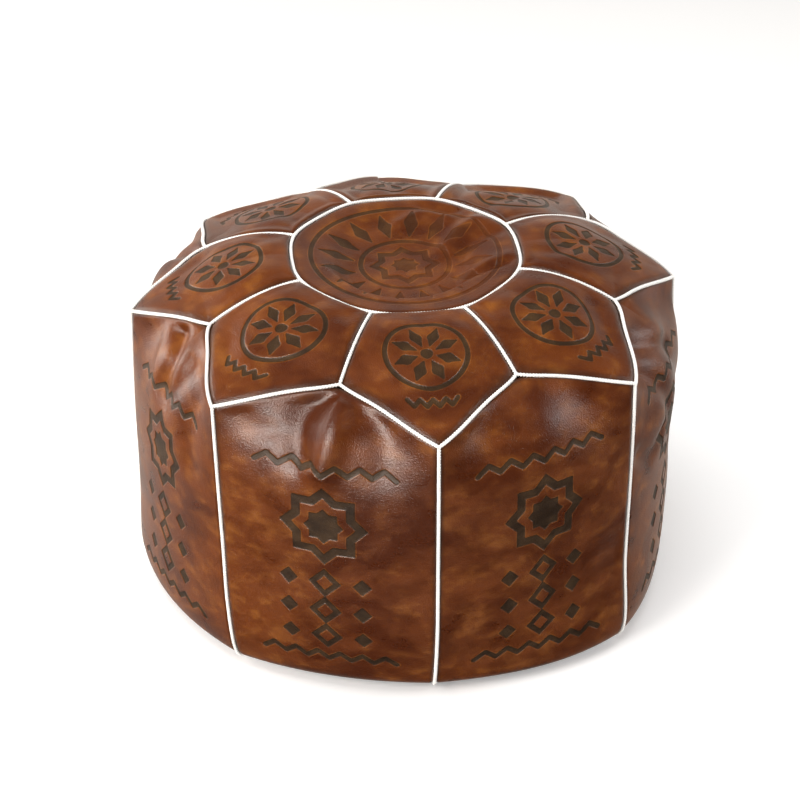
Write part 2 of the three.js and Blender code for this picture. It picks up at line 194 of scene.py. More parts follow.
def side_face(across, up):
    """A side panel about azimuth 0: across -1 to 1 between its seams, up 0 to 1."""
    middle_radius, middle_height = MIDDLE_LINE.at(up)
    seam_radius, seam_height = SEAM_LINE.at(up)
    in_top = smoothstep(up, 0.72, 1)
    weight = lerp(across ** 2, np.sqrt(across ** 2 + 0.004), in_top)
    radius = lerp(middle_radius, seam_radius, weight)
    height = lerp(middle_height, seam_height, weight)
    rise = gable_at(across)[1] - lerp(APEX[1], TIP[1], np.abs(across))
    return polar(across * HALF, radius, height + rise * in_top ** 2)


def ring_radius(azimuth):
    """The radius of the disc's seam, drawn out a little where the radial seams pull on it."""
    return RING[0] * (1 - 0.012 * np.cos(SIDES * azimuth))


def petal_face(across, out):
    """A petal about azimuth 0: across -1 to 1 between its seams, out 0 (ring) to 1."""
    edge_radius, edge_height = gable_at(1 - np.sqrt(across ** 2 + 0.0004))
    along = np.clip(out, 0, 1) ** PUFF_SKEW
    puff = PETAL_PUFF * (1 - across ** 2) * 4 * along * (1 - along)
    height = lerp(RING[1], edge_height, out) + puff
    azimuth = across * HALF
    return polar(azimuth, lerp(ring_radius(azimuth), edge_radius, out), height)


def floor_seam_radius(azimuth):
    """The radius of the seam round the base."""
    turns = azimuth / (2 * HALF)
    across = 1 - 2 * np.abs(turns - np.round(turns))
    return FLOOR_SEAM[0] - FLOOR_SEAM_FLAT * (1 - across ** 2)


def turned(points, azimuth):
    """Points turned about Z."""
    c, s = math.cos(azimuth), math.sin(azimuth)
    x, y, z = points[..., 0], points[..., 1], points[..., 2]
    return np.stack([x * c - y * s, x * s + y * c, z], -1)


# How far the stuffed cover has settled, in mm, and where.
FRONT_SAG = 5
RIGHT_LIFT = 4
BACK_SAG = 8  # at the back right, where the stuffing has gone soft
BACK_SAG_AZIMUTH = 2.75
BACK_SAG_SPREAD = 0.35
FRONT_TUCK = 13
RIGHT_TUCK = 3
LEFT_SPREAD = 5
FRONT_RIGHT_SPREAD = 8
FOOT_HEIGHT = 105
FOOT_RADII = (150, 235)  # the foot's tuck sets in between these
SHOULDER_SPREAD = 9  # at the back right
GABLE_PULL = 6
GABLE_HEIGHTS = (215, 295)
SEAM_ARCH = 7
TIP_TURN_LEFT = 0.075  # radians by which the tips beside the front one are turned away from it
TIP_TURN_RIGHT = 0.03


def sag_at(azimuth, front, right, out):
    """How far the top stands above its even height, from the ring (out 0) to the tips."""
    sag = lerp(-2.4, 0.7, out) - FRONT_SAG * front - lerp(1, 3.5, out) * (2 * front ** 2 - 1)
    sag += RIGHT_LIFT * out * right * (1 - front)
    return sag - BACK_SAG * out * np.exp(-((azimuth - BACK_SAG_AZIMUTH) / BACK_SAG_SPREAD) ** 2)


def tuck_at(front, right):
    """How far the foot is tucked in. It is below 0 where the foot spreads."""
    ahead = np.clip(front, 0, 1)
    tuck = FRONT_TUCK * ahead ** 2 * (1 - 1.7 * np.clip(right, 0, 1))
    tuck -= FRONT_RIGHT_SPREAD * np.clip(2 * ahead * right, 0, 1) ** 2
    return tuck + np.where(right > 0, RIGHT_TUCK, -LEFT_SPREAD) * right ** 2


def settle(points):
    """The slump of the stuffed cover. Its top sags to the front and its foot is tucked in there.

    The gables are pulled straight, the seams between petals arch up, and the tips beside the
    front one turn away from it a little.
    """
    x, y, z = points[..., 0], points[..., 1], points[..., 2]
    radius = np.hypot(x, y) + 1e-6
    azimuth = np.arctan2(x, -y)
    front = -y / radius
    right = x / radius
    out = np.clip(radius / RING[0] - 1, 0, 1)
    inside = np.clip(radius / RING[0], 0, 1)
    high = np.clip(z / RING[1], 0, 1.05) ** 2
    low = (1 - smoothstep(z, 0, FOOT_HEIGHT)) * smoothstep(radius, *FOOT_RADII)
    back_right = np.clip(2 * np.clip(-front, 0, 1) * right, 0, 1)
    reach = radius - tuck_at(front, right) * low + SHOULDER_SPREAD * back_right ** 2 * high * out
    reach -= GABLE_PULL * smoothstep(z, *GABLE_HEIGHTS) * out * np.sin(SIDES * azimuth) ** 2
    slope = np.clip((radius - RING[0]) / (APEX[0] - RING[0]), 0, 1)
    arch = SEAM_ARCH * 4 * slope * (1 - slope) * np.sin(SIDES / 2 * azimuth) ** 2
    height = z + arch + high * inside * sag_at(azimuth, front, right, out)
    corner = np.exp(-((np.abs(azimuth) - 2 * HALF) / HALF) ** 2)
    turn = np.where(right < 0, TIP_TURN_LEFT, -TIP_TURN_RIGHT) * np.abs(right)
    return polar(azimuth - turn * corner * high * out, reach, height)


# ---- flat shapes, as signed distances

# Each panel laid flat, with x from its middle line and y up from its foot (a petal's y grows
# outwards from the ring).
SIDE_WIDTH = 2 * HALF * WAIST
SIDE_LENGTH = 325
PETAL_WIDTH = 130
PETAL_LENGTH = 145


def dot(p, centre, radius):
    """A filled disc. Like every shape here, its distance is below 0 inside."""
    return np.hypot(p[:, 0] - centre[0], p[:, 1] - centre[1]) - radius


def ring(p, centre, radius, width):
    return np.abs(np.hypot(p[:, 0] - centre[0], p[:, 1] - centre[1]) - radius) - width / 2


def stroke(p, points, widths):
    """A brush stroke through points, with the width going through the listed widths."""
    points = np.array(points, float)
    halves = np.interp(np.linspace(0, 1, len(points)), np.linspace(0, 1, len(widths)), widths) / 2
    best = np.full(len(p), 1e3)
    for (a, b), (wa, wb) in zip(zip(points, points[1:]), zip(halves, halves[1:])):
        along = b - a
        t = np.clip(((p - a) @ along) / (along @ along), 0, 1)
        gap = np.hypot(*(p - a - t[:, None] * along).T) - lerp(wa, wb, t)
        best = np.minimum(best, gap)
    return best


def curve(points, steps=8):
    """A smooth path through a few points."""
    return Meridian(points, steps).points


def square(p, centre, reach, turn):
    """A square by the distance from its centre to a corner, turned by an angle."""
    c, s = math.cos(turn + math.pi / 4), math.sin(turn + math.pi / 4)
    x, y = p[:, 0] - centre[0], p[:, 1] - centre[1]
    past = np.abs(np.stack([x * c + y * s, y * c - x * s], 1)) - reach / math.sqrt(2)
    return np.linalg.norm(np.maximum(past, 0), axis=1) + np.minimum(past.max(1), 0)


def union(*shapes):
    """All the shapes together."""
    return np.minimum.reduce(shapes)


def cut(shape, hole):
    """A shape less another."""
    return np.maximum(shape, -hole)


# ---- motifs, in pattern millimetres


def eight_point_star(p, centre, reach):
    """Two squares laid over each other, an eighth of a turn apart."""
    return union(square(p, centre, reach, 0.0), square(p, centre, reach, math.pi / 4))


def zigzag_band(p, height, half_width, teeth, rise, width):
    """A zigzag line across a panel, even on both sides of its middle."""
    step = half_width / teeth
    path = [(-half_width + step * k, height + (rise if k % 2 else -rise)) for k in range(2 * teeth + 1)]
    return stroke(p, path, [width] * len(path))


def rosette(p, centre, inner, outer, leaves, width):
    """Even pointed leaves round a centre."""
    shapes = []
    for step in range(leaves):
        angle = 2 * math.pi * (step + 0.5) / leaves
        path = [
            (centre[0] + reach * math.cos(angle), centre[1] + reach * math.sin(angle))
            for reach in (inner, (inner + outer) / 2, outer)
        ]
        shapes.append(stroke(p, path, [1.5, width, 1.5]))
    return union(*shapes)


def side_motif(p):
    """A star over a column of lozenges, between two zigzag bands."""
    reach = 0.2 * SIDE_WIDTH
    band = 0.32 * SIDE_WIDTH
    place = (0, 0.61 * SIDE_LENGTH)
    shapes = [
        cut(eight_point_star(p, place, reach), eight_point_star(p, place, 0.72 * reach)),
        eight_point_star(p, place, 0.45 * reach),
        zigzag_band(p, 0.79 * SIDE_LENGTH, band, 6, 0.1 * reach, 5.5),
        zigzag_band(p, 0.15 * SIDE_LENGTH, band, 6, 0.1 * reach, 5.5),
    ]
    for row in range(3):
        height = (0.42 - 0.095 * row) * SIDE_LENGTH
        lozenge = square(p, (0, height), 0.38 * reach, 0.0)
        shapes.append(cut(lozenge, square(p, (0, height), 0.19 * reach, 0.0)))
        for side in (-1, 1):
            shapes.append(square(p, (side * 0.85 * reach, height), 0.22 * reach, 0.0))
    return union(*shapes)


def petal_motif(p):
    """A ringed rosette over a zigzag. The second coordinate grows from the ring outwards."""
    reach = 0.29 * PETAL_WIDTH
    place = (0, 0.46 * PETAL_LENGTH)
    return union(
        dot(p, place, 0.15 * reach),
        rosette(p, place, 0.25 * reach, 0.85 * reach, 8, 0.3 * reach),
        ring(p, place, reach, 0.12 * reach),
        zigzag_band(p, 0.82 * PETAL_LENGTH, 0.6 * reach, 4, 0.09 * reach, 0.11 * reach),
    )


def disc_motif(p):
    """A star in a ring of leaves, centred on the disc."""
    reach = 0.82 * RING[0]
    middle = (0, 0)
    return union(
        cut(eight_point_star(p, middle, 0.38 * reach), eight_point_star(p, middle, 0.28 * reach)),
        eight_point_star(p, middle, 0.15 * reach),
        ring(p, middle, 0.47 * reach, 0.05 * reach),
        rosette(p, middle, 0.55 * reach, 0.92 * reach, 16, 0.15 * reach),
        ring(p, middle, reach, 0.05 * reach),
    )


# ---- meshes


def new_object(name, vertices, faces, material):
    """A smooth-shaded mesh object from vertices in millimetres."""
    mesh = bpy.data.meshes.new(name)
    mesh.from_pydata((np.asarray(vertices) * MM).tolist(), [], faces)
    mesh.shade_smooth()
    mesh.materials.append(material)
    piece = bpy.data.objects.new(name, mesh)
    bpy.context.scene.collection.objects.link(piece)
    return piece


def quads(index, ring_rows=False, ring_columns=False):
    """The faces between neighbours in a grid of vertex numbers. Rows or columns may be rings."""
    near = index if ring_rows else index[:-1]
    far = np.roll(index, -1, 0) if ring_rows else index[1:]
    faces = np.stack([near, np.roll(near, -1, 1), np.roll(far, -1, 1), far], -1)
    if not ring_columns:
        faces = faces[:, :-1]
    return faces.reshape(-1, 4)


def closed_tube(index):
    """The faces of a grid whose rows are rings, with a face over each end."""
    return quads(index, ring_columns=True).tolist() + [index[0][::-1].tolist(), index[-1].tolist()]


def grid_object(name, outer, inner, skip, material):
    """A closed sheet: a fine outer grid over an inner one that keeps every skip-th line."""
    rows, columns = outer.shape[:2]
    index = np.arange(rows * columns).reshape(rows, columns)
    coarse = inner[::skip, ::skip]
    under = rows * columns + np.arange(coarse.shape[0] * coarse.shape[1]).reshape(coarse.shape[:2])
    backs = np.roll(quads(under)[:, ::-1], 1, axis=1)
    faces = quads(index).tolist() + backs.tolist()
    edges = (
        (index[0], under[0], False),
        (index[-1], under[-1], True),
        (index[:, 0], under[:, 0], True),
        (index[:, -1], under[:, -1], False),
    )
    for fine, rough, flip in edges:
        for k in range(len(rough) - 1):
            loop = [int(rough[k]), int(rough[k + 1]), *fine[k * skip : (k + 1) * skip + 1][::-1].tolist()]
            faces.append(loop[::-1] if flip else loop)
    vertices = np.vstack([outer.reshape(-1, 3), coarse.reshape(-1, 3)])
    return new_object(name, vertices, faces, material)


FAR = 9.0  # a distance in mm at which neither a seam nor ink shows


def set_attribute(piece, name, values, rest=FAR):
    """A value for each vertex of the outer grid, and one value for the rest."""
    full = np.full(len(piece.data.vertices), rest, np.float32)
    full[: values.size] = values.ravel()
    piece.data.attributes.new(name, "FLOAT", "POINT").data.foreach_set("value", full)


def attach(piece, slot, *nodes):
    """The piece rides on the pouf and stands in for CAD nodes, which are hidden. Its slot is not used."""
    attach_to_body(piece, BODY)
    if nodes:
        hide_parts(*nodes)


EDGE_LINES = np.array([0, 0.45, 0.95, 1.5, 2.15, 2.9, 3.8, 4.9])
FIRST_EVEN_LINE = 6.2
SKIP = 6  # the back of a panel keeps every sixth line


def graded(length, pitch):
    """Shares of a length: even steps inside, and short ones within a few mm of both ends.

    The number of steps is a multiple of SKIP.
    """
    inner = length - 2 * FIRST_EVEN_LINE
    count = math.ceil(inner / pitch)
    count += -(count + 2 * len(EDGE_LINES)) % SKIP
    middle = FIRST_EVEN_LINE + np.linspace(0, inner, count + 1)
    return np.concatenate([EDGE_LINES, middle, length - EDGE_LINES[::-1]]) / length


def normals_of(points):
    """Unit normals of a grid, towards columns x rows."""
    return unit(np.cross(np.gradient(points, axis=1), np.gradient(points, axis=0)))


LOOSE_FROM_SEAM = 16  # from this far on, the leather moves and dents freely
ROLL_DEPTH = 2.6  # how deep the leather dips at a seam
ROLL_WIDTH = 6.0
EMBOSS = 0.45  # depth of the print


def leather_piece(name, points, moved, seams, ink, relief, azimuth, material, wear=0.0):
    """A leather panel: its smooth face, moved and dented, dipped at its seams and embossed."""
    loose = smoothstep(np.minimum.reduce(seams), 0, LOOSE_FROM_SEAM)
    points = points + moved * loose[..., None]
    flat = 1.0
    for distance in seams:
        flat = flat * (1 - np.clip(1 - distance / ROLL_WIDTH, 0, 1) ** 2.2)
    normal = normals_of(points)
    height = relief * loose - ROLL_DEPTH * (1 - flat)
    pressed = height - EMBOSS * smoothstep(-ink, -0.35, 0.6)
    outer = settle(turned(points + normal * pressed[..., None], azimuth))
    inner = settle(turned(points + normal * (height - LEATHER)[..., None], azimuth))
    piece = grid_object(name, outer, inner, SKIP, material)
    set_attribute(piece, "ink", ink)
    set_attribute(piece, "seam", np.minimum.reduce(seams))
    set_attribute(piece, "wear", wear + 0 * ink, rest=0.0)
    return piece


# ---- materials


class Nodes:
    """A node tree that is built up by short calls, each of which gives an output socket."""

    def __init__(self, tree):
        self.tree = tree

    def set(self, node, values):
        """Gives a node its inputs, by name or by number: a socket is linked, a value is set."""
        for key, value in values.items():
            socket = node.inputs[key]
            if isinstance(value, bpy.types.NodeSocket):
                self.tree.links.new(value, socket)
            else:
                socket.default_value = value

    def node(self, kind, inputs, output=0, **settings):
        made = self.tree.nodes.new("ShaderNode" + kind)
        for key, value in settings.items():
            setattr(made, key, value)
        self.set(made, inputs)
        return made.outputs[output]

    def place(self):
        """The point in the object's own metres."""
        return self.node("TexCoord", {}, output=3)

    def noise(self, scale, detail=4.0, roughness=0.55, stretch=(1, 1, 1), distortion=0.0):
        stretched = self.node("Mapping", {"Vector": self.place(), "Scale": stretch})
        values = {"Vector": stretched, "Scale": scale, "Detail": detail}
        values.update(Roughness=roughness, Distortion=distortion)
        return self.node("TexNoise", values)

    def pebbles(self, scale):
        """Rounded cells, such as a leather's grain."""
        return self.node("TexVoronoi", {"Vector": self.place(), "Scale": scale}, feature="SMOOTH_F1")

    def remap(self, value, low, high, to_low=0.0, to_high=1.0):
        values = {0: value, 1: low, 2: high, 3: to_low, 4: to_high}
        return self.node("MapRange", values, clamp=True)

    def math(self, operation, a, b):
        return self.node("Math", {0: a, 1: b}, operation=operation)

    def times(self, a, b):
        return self.math("MULTIPLY", a, b)

    def mix(self, factor, a, b):
        """Colour a where the factor is 0, and b where it is 1."""
        return self.node("Mix", {0: factor, 6: a, 7: b}, output=2, data_type="RGBA")

    def attribute(self, name):
        return self.node("Attribute", {}, output=2, attribute_name=name)

    def bump(self, height, strength, distance, below=None):
        """A bumped normal, laid over another if there is one below."""
        values = {"Height": height, "Strength": strength, "Distance": distance}
        if below is not None:
            values["Normal"] = below
        return self.node("Bump", values)


class Shader(Nodes):
    """A new material with its nodes."""

    def __init__(self, name):
        self.material = bpy.data.materials.new(name)
        self.material.use_nodes = True
        super().__init__(self.material.node_tree)
        self.surface = self.tree.nodes["Principled BSDF"]

    def finished(self, colour, roughness, normal, specular=0.5, metallic=0.0):
        """Gives the surface its finish, and the material."""
        self.set(self.surface, {
            "Base Color": colour,
            "Roughness": roughness,
            "Normal": normal,
            "Specular IOR Level": specular,
            "Metallic": metallic,
        })
        return self.material


def rgb(red, green, blue):
    return (red, green, blue, 1.0)


# painted shadow: the dark colour laid along the seams, where the groove beside the piping is in shade
PAINTED_SEAM_SHADOW = rgb(0.030, 0.010, 0.003)
STAIN = rgb(0.058, 0.030, 0.011)


def burnish(shader, tone, rubbed, dark, middle, light):
    """Cloudy leather, rubbed light in places, with a painted shadow darkening it along its seams."""
    colour = shader.mix(shader.remap(tone, 0.40, 0.60), dark, middle)
    worn = shader.times(shader.remap(rubbed, 0.48, 0.78), shader.remap(tone, 0.40, 0.62))
    colour = shader.mix(worn, colour, light)
    # painted shadow along the seams, darkest at the seam and gone 6 mm from it
    seam_shadow_mask = shader.remap(shader.attribute("seam"), 0.4, 6.0, 0.85, 0.0)
    return shader.mix(seam_shadow_mask, colour, PAINTED_SEAM_SHADOW)


def inked(shader, colour, ink, distance, rubbed, light, ink_colour):
    """The print: a stain that wears off, inside a painted highlight along its pressed edge."""
    speck = shader.noise(420, 3, 0.6)
    stain = shader.mix(shader.remap(rubbed, 0.35, 0.7), ink_colour, STAIN)
    covered = shader.times(ink, shader.remap(speck, 0.25, 0.5, 0.90, 0.98))
    kept = shader.math("SUBTRACT", 1.0, shader.attribute("wear"))
    # painted highlight: a lighter band 0.2 to 1.1 mm outside the print, where the pressed edge would catch
    # the light, broken up by the rubbed noise
    edge = shader.times(shader.remap(distance, 0.2, 0.6), shader.remap(distance, 1.1, 0.7))
    edge = shader.times(edge, shader.remap(rubbed, 0.42, 0.60, 0.1, 0.75))
    colour = shader.mix(edge, colour, light)
    return shader.mix(shader.times(covered, kept), colour, stain)


def leather_bumps(shader, distance):
    """Creases, grain and pores from large to small, with the print's edge on top."""
    normal = shader.bump(shader.noise(120, 4, 0.55), 0.14, 0.0006)
    normal = shader.bump(shader.pebbles(820), 0.45, 0.0006, normal)
    normal = shader.bump(shader.noise(1300, 2, 0.6), 0.45, 0.0006, normal)
    return shader.bump(shader.remap(distance, -0.5, 0.5), 0.7, 0.0005, normal)


def leather_material(name, dark, middle, light, ink_colour):
    """Burnished leather: cloudy browns, fine grain, dark ink where the motif is pressed in."""
    shader = Shader(name)
    cloud = shader.noise(8, 3, 0.5, (1, 1, 1.5))
    blotch = shader.noise(30, 3, 0.5, (1, 1, 1.7), 0.2)
    rubbed = shader.noise(52, 4, 0.55, (1, 1, 1.5))
    tone = shader.math("ADD", shader.times(cloud, 0.5), shader.times(blotch, 0.5))
    distance = shader.attribute("ink")
    ink = shader.remap(distance, -0.28, 0.28, 1.0, 0.0)
    colour = burnish(shader, tone, rubbed, dark, middle, light)
    colour = inked(shader, colour, ink, distance, rubbed, light, ink_colour)
    rough = shader.math("ADD", shader.remap(blotch, 0.3, 0.7, 0.27, 0.34), shader.times(ink, 0.14))
    specular = shader.remap(ink, 0, 1, 0.5, 0.3)
    return shader.finished(colour, rough, leather_bumps(shader, distance), specular)


def cord_material():
    """White twisted cotton."""
    shader = Shader("cord_cotton")
    fibre = shader.noise(900, 4, 0.6)
    colour = shader.mix(fibre, rgb(0.90, 0.87, 0.82), rgb(0.98, 0.97, 0.95))
    return shader.finished(colour, 0.8, shader.bump(fibre, 0.4, 0.0003), specular=0.25)


def cloth_material(name, dark, light, fineness):
    """A plain weave of crossing threads."""
    shader = Shader(name)
    weave = 0.0
    for turn in (0.0, math.pi / 2):
        wave = shader.node("TexWave", {
            "Vector": shader.node("Mapping", {"Vector": shader.place(), "Rotation": (0, 0, turn)}),
            "Scale": fineness,
            "Distortion": 0.6,
        })
        weave = shader.math("MAXIMUM", weave, wave)
    colour = shader.mix(shader.times(weave, shader.noise(60)), dark, light)
    return shader.finished(colour, 0.92, shader.bump(weave, 0.5, 0.0004), specular=0.2)


def nylon_material():
    """Dark brown nylon, with a faint mottle."""
    shader = Shader("zip_nylon")
    grain = shader.noise(700, 3)
    colour = shader.mix(grain, rgb(0.020, 0.012, 0.008), rgb(0.045, 0.028, 0.018))
    return shader.finished(colour, 0.45, shader.bump(grain, 0.2, 0.0002))


def brass_material():
    """Antique brass, dark in patches and rubbed bright in others."""
    shader = Shader("zip_brass")
    wear = shader.noise(240, 6, 0.65)
    colour = shader.mix(shader.remap(wear, 0.35, 0.65), rgb(0.14, 0.09, 0.035), rgb(0.52, 0.37, 0.15))
    rough = shader.remap(wear, 0.3, 0.7, 0.5, 0.28)
    normal = shader.bump(shader.noise(900, 3), 0.15, 0.0002)
    return shader.finished(colour, rough, normal, metallic=1.0)


def wadding_material():
    """Loose white fibre."""
    shader = Shader("wadding")
    fluff = shader.noise(90, 8, 0.75, distortion=1.5)
    colour = shader.mix(fluff, rgb(0.72, 0.69, 0.63), rgb(0.90, 0.89, 0.86))
    return shader.finished(colour, 1.0, shader.bump(fluff, 0.8, 0.004), specular=0.1)


LEATHER_TOP = leather_material(
    "leather_brown",
    rgb(0.072, 0.013, 0.0008),
    rgb(0.148, 0.033, 0.0022),
    rgb(0.270, 0.086, 0.0090),
    rgb(0.026, 0.013, 0.005),
)
LEATHER_BASE = leather_material(
    "leather_dark",
    rgb(0.070, 0.020, 0.006),
    rgb(0.120, 0.036, 0.010),
    rgb(0.190, 0.070, 0.022),
    rgb(0.02, 0.01, 0.005),
)
CORD = cord_material()
TAPE = cloth_material("zip_tape_weave", rgb(0.02, 0.012, 0.007), rgb(0.07, 0.042, 0.026), 286.624)
BAG = cloth_material("bag_weave", rgb(0.45, 0.41, 0.34), rgb(0.80, 0.76, 0.68), 191.083)
NYLON = nylon_material()
BRASS = brass_material()
WADDING = wadding_material()

# ---- the stuffed shape, by cloth simulation

COARSE_PITCH = 9.5
SIM_FRAMES = 24
SIM_SLACK = 0.035  # the leather is cut this share larger where a panel is slackest
SIM_MEAN_KEPT = 0.3  # share of the swelling that all panels have in common
SIM_CAP = {"side": 5.0, "petal": 2.4, "disc": 3.0}


CLOTH = {
    "quality": 6,
    "mass": 0.15,
    "tension_stiffness": 30,
    "compression_stiffness": 30,
    "shear_stiffness": 12,
    "bending_stiffness": 1.2,
    "air_damping": 3,
    "vertex_group_mass": "seams",
    "vertex_group_shrink": "slack",
    "shrink_min": 0.0,
    "shrink_max": -SIM_SLACK,
    "use_pressure": True,
    "uniform_pressure_force": 5.0,
}


def coarse_panels():
    """The coarse grid of every panel: its kind, azimuth and points."""
    panels = []
    kinds = (
        ("side", side_face, SIDE_WIDTH, SIDE_LENGTH, [(2 * k + 1) * HALF for k in range(SIDES)]),
        ("petal", petal_face, PETAL_WIDTH, PETAL_LENGTH, [2 * k * HALF for k in range(SIDES)]),
        ("disc", disc_face, 2 * RING[0], 2 * RING[0], [0.0]),
    )
    for kind, face, width, length, azimuths in kinds:
        across, up = np.meshgrid(
            np.linspace(-1, 1, round(width / COARSE_PITCH) + 1),
            np.linspace(0, 1, round(length / COARSE_PITCH) + 1),
        )
        for azimuth in azimuths:
            panels.append((kind, azimuth, turned(face(across, up), azimuth)))
    return panels


def slackness(points):
    """Where the leather was cut loose: a cloudy value from 0 to 1 over the cover."""
    x, y, z = (points / 1000).T
    wave = np.sin(23 * x + 11 * z + 2) + np.sin(-19 * y + 17 * z + 1) + np.sin(31 * (x + y) - 13 * z)
    wave += 0.7 * np.sin(57 * x - 41 * y + 3) * np.sin(47 * z + 1)
    return np.clip(0.5 + wave / 5, 0, 1)


def coarse_cover(panels):
    """One object of all the coarse panels, with its seams held and its loose leather marked."""
    vertices = []
    faces = []
    held = []
    for _, _, points in panels:
        rows, columns = points.shape[:2]
        index = len(vertices) + np.arange(rows * columns).reshape(rows, columns)
        vertices += points.reshape(-1, 3).tolist()
        faces += quads(index).tolist()
        held += [*index[0], *index[-1], *index[1:-1, 0], *index[1:-1, -1]]
    cover = new_object("cover_simulation", vertices, faces, LEATHER_TOP)
    cover.vertex_groups.new(name="seams").add([int(i) for i in held], 1.0, "REPLACE")
    slack = cover.vertex_groups.new(name="slack")
    for i, weight in enumerate(slackness(np.array(vertices))):
        slack.add([i], float(weight), "REPLACE")
    return cover


def make_cloth(cover):
    """Thin, stiff leather under an even pressure."""
    cloth = cover.modifiers.new("cloth", "CLOTH")
    cloth.point_cache.frame_end = SIM_FRAMES
    cloth.collision_settings.use_collision = False
    for setting, value in CLOTH.items():
        setattr(cloth.settings, setting, value)


def places_mm(mesh):
    places = np.empty(3 * len(mesh.vertices))
    mesh.vertices.foreach_get("co", places)
    return places.reshape(-1, 3) / MM


def simulate_cover():
    """Swells the panels under the stuffing's pressure. Gives each one's displacement grid."""
    panels = coarse_panels()
    cover = coarse_cover(panels)
    rest = np.vstack([points.reshape(-1, 3) for _, _, points in panels])
    make_cloth(cover)
    scene = bpy.context.scene
    for number in range(1, SIM_FRAMES + 1):
        scene.frame_set(number)
    swollen = cover.evaluated_get(bpy.context.evaluated_depsgraph_get())
    moved = places_mm(swollen.data) - rest
    scene.frame_set(1)
    bpy.data.objects.remove(cover)
    return split_by_panel(panels, moved)


def split_by_panel(panels, moved):
    """Each panel's own displacement, with most of what its kind has in common taken off."""
    local = []
    start = 0
    for kind, azimuth, points in panels:
        count = points.shape[0] * points.shape[1]
        local.append(turned(moved[start : start + count].reshape(points.shape), -azimuth))
        start += count
    result = {"side": [], "petal": [], "disc": []}
    for kind in result:
        grids = [grid for (name, _, _), grid in zip(panels, local) if name == kind]
        common = np.mean(grids, axis=0)
        for grid in grids:
            own = grid - (1 - SIM_MEAN_KEPT) * common
            size = np.linalg.norm(own, axis=-1, keepdims=True) + 1e-9
            cap = SIM_CAP[kind]
            result[kind].append(own / size * cap * np.tanh(size / cap))
    return result


def spline_weights(count, shares):
    """Weights that read a row of count values smoothly at the given shares of its length."""
    place = np.clip(shares, 0, 1) * (count - 1)
    start = np.minimum(place.astype(int), count - 2)
    t = place - start
    taps = ((1 - t) ** 3, 3 * t ** 3 - 6 * t ** 2 + 4, 3 * t + 3 * t ** 2 - 3 * t ** 3 + 1, t ** 3)
    weights = np.zeros((len(shares), count))
    for offset, tap in zip((-1, 0, 1, 2), taps):
        np.add.at(weights, (np.arange(len(shares)), np.clip(start + offset, 0, count - 1)), tap / 6)
    return weights


def swelling(kind, index, across_lines, up_lines):
    if not SWELLINGS:
        return 0.0
    grid = SWELLINGS[kind][index]
    rows = spline_weights(grid.shape[0], np.asarray(up_lines))
    columns = spline_weights(grid.shape[1], (np.asarray(across_lines) + 1) / 2)
    return np.einsum("ri,ijk,cj->rck", rows, grid, columns)


# ---- dents, in pattern millimetres


def crease(x, y, path, width, depth):
    """A soft valley along a path, or a ridge if its depth is below 0."""
    p = np.stack([x.ravel(), y.ravel()], 1)
    gap = np.maximum(stroke(p, curve(path, 6), [0, 0]), 0).reshape(x.shape)
    return -depth * np.exp(-((gap / width) ** 2))


# The path, width and depth of each crease, for the side panels in turn.
SIDE_CREASES = [
    [
        ([(-60, 300), (-40, 285), (-10, 290)], 20, 2.0),
        ([(20, 130), (60, 100), (90, 110)], 26, 2.2),
        ([(-85, 70), (-40, 50), (0, 60)], 22, 1.6),
    ],
    [
        ([(-30, 240), (20, 235), (70, 240)], 45, -6.0),
        ([(-62, 318), (-25, 292), (25, 262)], 11, 5.0),
        ([(-78, 296), (-45, 262), (-12, 222)], 11, 4.2),
        ([(-90, 208), (-60, 192), (-30, 200)], 10, 3.6),
        ([(30, 250), (50, 200), (60, 150)], 22, 3.0),
    ],
    [
        ([(-30, 326), (-22, 290), (-30, 255)], 14, 6.0),
        ([(50, 300), (30, 262), (36, 230)], 16, 4.0),
        ([(-80, 90), (-50, 70), (-10, 82)], 20, 2.5),
    ],
    [
        ([(10, 330), (4, 300), (22, 262)], 15, 7.0),
        ([(-82, 280), (-58, 258), (-50, 220)], 14, 3.6),
        ([(40, 60), (70, 46), (92, 52)], 16, 2.0),
    ],
    [
        ([(-50, 312), (-36, 280), (-42, 250)], 13, 5.0),
        ([(20, 322), (36, 296), (60, 282)], 12, 4.4),
        ([(-60, 130), (-20, 112), (30, 120)], 24, 2.4),
    ],
    [
        ([(-80, 272), (0, 285), (80, 272)], 42, -7.0),
        ([(0, 330), (-14, 298), (-6, 264)], 14, 7.5),
        ([(62, 296), (54, 262), (66, 232)], 15, 3.6),
        ([(-88, 236), (-70, 206), (-76, 170)], 14, 3.0),
    ],
    [
        ([(-26, 322), (-4, 295), (-7, 262)], 12, 7.5),
        ([(-46, 312), (-36, 282), (-30, 258)], 9, -1.6),
        ([(34, 304), (22, 276), (4, 250)], 12, 4.0),
        ([(70, 290), (58, 250), (60, 215)], 15, 3.0),
    ],
    [
        ([(-12, 332), (-28, 303), (-24, 264)], 16, 9.0),
        ([(8, 320), (6, 292), (-4, 254)], 14, -8.0),
        ([(46, 318), (58, 292), (54, 262)], 15, 2.6),
        ([(-84, 298), (-70, 286), (-52, 284)], 13, 2.5),
        ([(-80, 150), (-50, 140), (-30, 150)], 20, 1.6),
    ],
]
